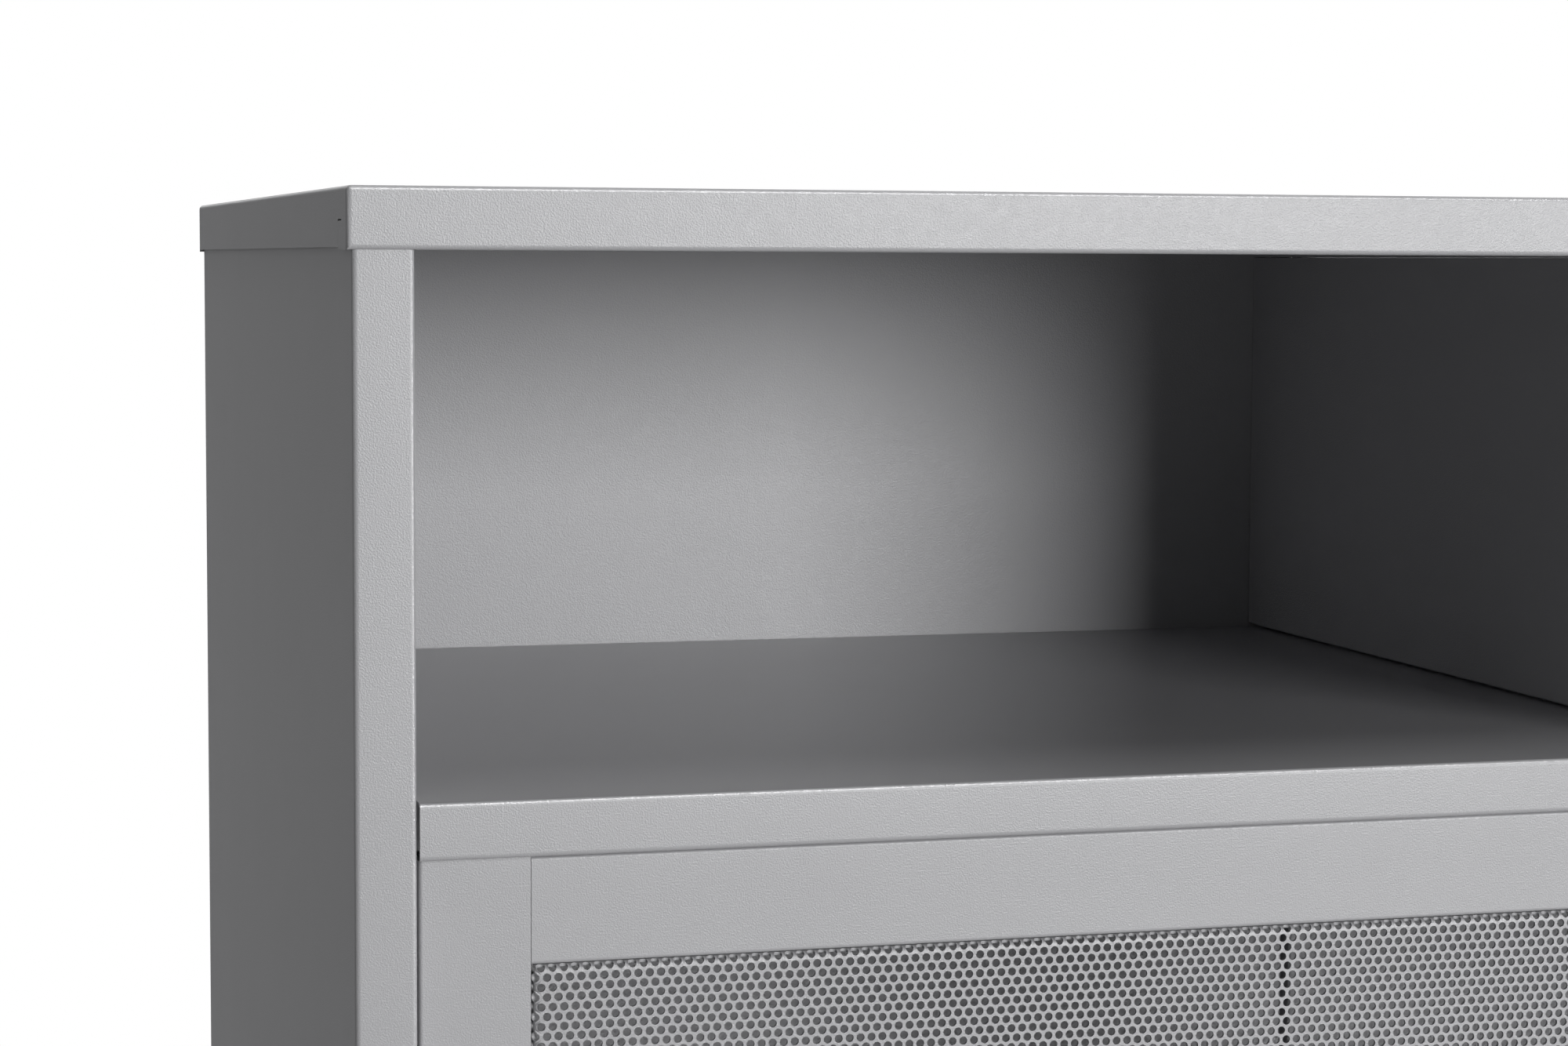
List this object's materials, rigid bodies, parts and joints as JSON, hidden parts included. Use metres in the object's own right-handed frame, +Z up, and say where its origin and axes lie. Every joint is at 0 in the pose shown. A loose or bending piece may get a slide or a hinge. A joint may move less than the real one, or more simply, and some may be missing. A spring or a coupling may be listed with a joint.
{
  "type": "wall cabinet",
  "caption": "Wall cabinet of folded powder-coated sheet steel with an open divided niche above a cupboard closed by perforated hinged doors.",
  "frame": {"origin": "the wall face, on the back cover strip in the middle of the width, 50 mm below the lid's top", "axes": "+X to the right seen from the front, +Y out of the back into the wall, +Z up"},
  "size_m": [0.81, 0.363, 0.6],
  "materials": {
    "powder_coat": "mid-grey powder coat with a fine orange-peel grain, satin",
    "zinc_steel": "zinc-plated steel, satin",
    "nylon": "natural nylon, matt",
    "black_plastic": "moulded black plastic, fine texture",
    "magnet": "nickel-plated magnet, satin"
  },
  "bodies": {
    "cabinet": {"top_lid": "powder_coat", "lid_stringer": "powder_coat", "side_panel_left": "powder_coat", "side_panel_right": "powder_coat", "niche_shelf": "powder_coat", "niche_partition": "powder_coat", "partition_foot": "powder_coat", "partition_screw_front": "zinc_steel", "partition_screw_rear": "zinc_steel", "base_panel": "powder_coat", "back_panel_left": "powder_coat", "back_panel_right": "powder_coat", "back_cover_strip": "powder_coat", "wall_bracket_left": "zinc_steel", "wall_bracket_right": "zinc_steel", "inner_shelf": "powder_coat", "shelf_rest_left": "powder_coat", "shelf_rest_right": "powder_coat", "catch_body_left": "black_plastic", "catch_body_right": "black_plastic", "catch_magnet_left": "magnet", "catch_magnet_right": "magnet", "bush_left_top": "nylon", "bush_left_bottom": "nylon", "bush_right_top": "nylon", "bush_right_bottom": "nylon"},
    "door_left": {"door_left_hinge_stile": "powder_coat", "door_left_free_stile": "powder_coat", "door_left_top_rail": "powder_coat", "door_left_bottom_rail": "powder_coat", "door_left_mesh_sheet": "powder_coat", "door_left_hinge_plug_top": "black_plastic", "door_left_hinge_plug_bottom": "black_plastic", "door_left_end_plug_top": "black_plastic", "door_left_end_plug_bottom": "black_plastic", "door_left_pin_top": "zinc_steel", "door_left_pin_bottom": "zinc_steel", "door_left_knob": "powder_coat", "door_left_knob_screw": "zinc_steel", "door_left_strike": "zinc_steel"},
    "door_right": {"door_right_hinge_stile": "powder_coat", "door_right_free_stile": "powder_coat", "door_right_top_rail": "powder_coat", "door_right_bottom_rail": "powder_coat", "door_right_mesh_sheet": "powder_coat", "door_right_hinge_plug_top": "black_plastic", "door_right_hinge_plug_bottom": "black_plastic", "door_right_end_plug_top": "black_plastic", "door_right_end_plug_bottom": "black_plastic", "door_right_pin_top": "zinc_steel", "door_right_pin_bottom": "zinc_steel", "door_right_knob": "powder_coat", "door_right_knob_screw": "zinc_steel", "door_right_strike": "zinc_steel"}
  },
  "joints": [
    {"name": "door_left_hinge", "type": "hinge", "parent": "cabinet", "child": "door_left", "pos_m": [-0.372, -0.3377, -0.3], "axis": [0, 0, -1], "range_deg": [0, 110]},
    {"name": "door_right_hinge", "type": "hinge", "parent": "cabinet", "child": "door_right", "pos_m": [0.372, -0.3377, -0.3], "axis": [0, 0, 1], "range_deg": [0, 110]}
  ]
}
